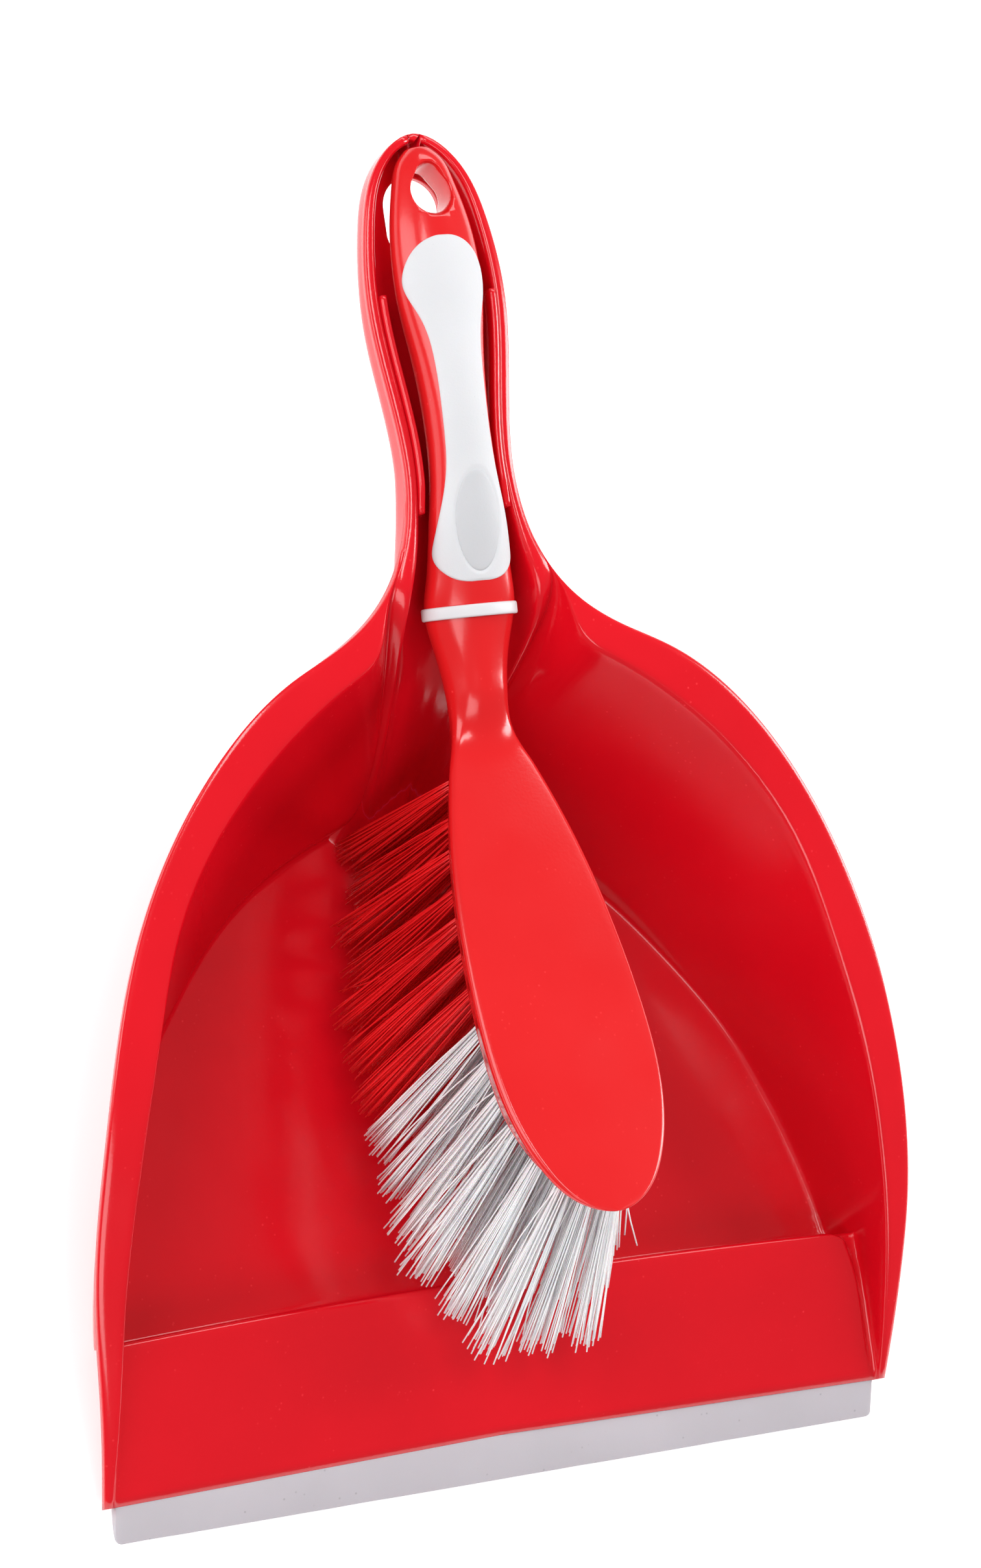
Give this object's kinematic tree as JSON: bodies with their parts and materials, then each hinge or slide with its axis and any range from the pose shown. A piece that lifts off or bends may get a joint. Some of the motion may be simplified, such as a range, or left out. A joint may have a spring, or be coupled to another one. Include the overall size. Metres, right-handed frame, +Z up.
{
  "type": "dust pan and brush set",
  "caption": "Open dust pan with a raised ramp, soft lip and channelled handle, holding a hand brush with a paddle head, soft grip and two-tone bristles.",
  "frame": {"origin": "middle of the footprint, on the floor that the pan lies on", "axes": "+Y from the lip towards the handle, +Z up, +X across the lip"},
  "size_m": [0.2314, 0.3341, 0.0955],
  "materials": {
    "red_plastic": "glossy moulded polypropylene",
    "grey_rubber": "satin soft strip",
    "white_rubber": "matte soft-touch overmould",
    "pad_rubber": "matte soft-touch pad",
    "red_filament": "extruded filament",
    "white_filament": "extruded filament",
    "anchor_wire": "flat wire"
  },
  "bodies": {
    "pan": {"pan_body": "red_plastic", "pan_lip": "grey_rubber"},
    "brush": {"brush_body": "red_plastic", "handle_grip": "white_rubber", "thumb_pad": "pad_rubber", "neck_ring": "white_rubber", "red_tuft_row_1": "red_filament", "red_tuft_row_2": "red_filament", "red_tuft_row_3": "red_filament", "red_tuft_row_4": "red_filament", "red_tuft_row_5": "red_filament", "red_tuft_row_6": "red_filament", "red_tuft_row_7": "red_filament", "white_tuft_row_1": "white_filament", "white_tuft_row_2": "white_filament", "white_tuft_row_3": "white_filament", "white_tuft_row_4": "white_filament", "white_tuft_row_5": "white_filament", "white_tuft_row_6": "white_filament", "tuft_anchors": "anchor_wire"}
  },
  "joints": [
    {"name": "brush_lift", "type": "slide", "parent": "pan", "child": "brush", "axis": [0, 0, 1], "range_m": [0, 0.16]}
  ]
}
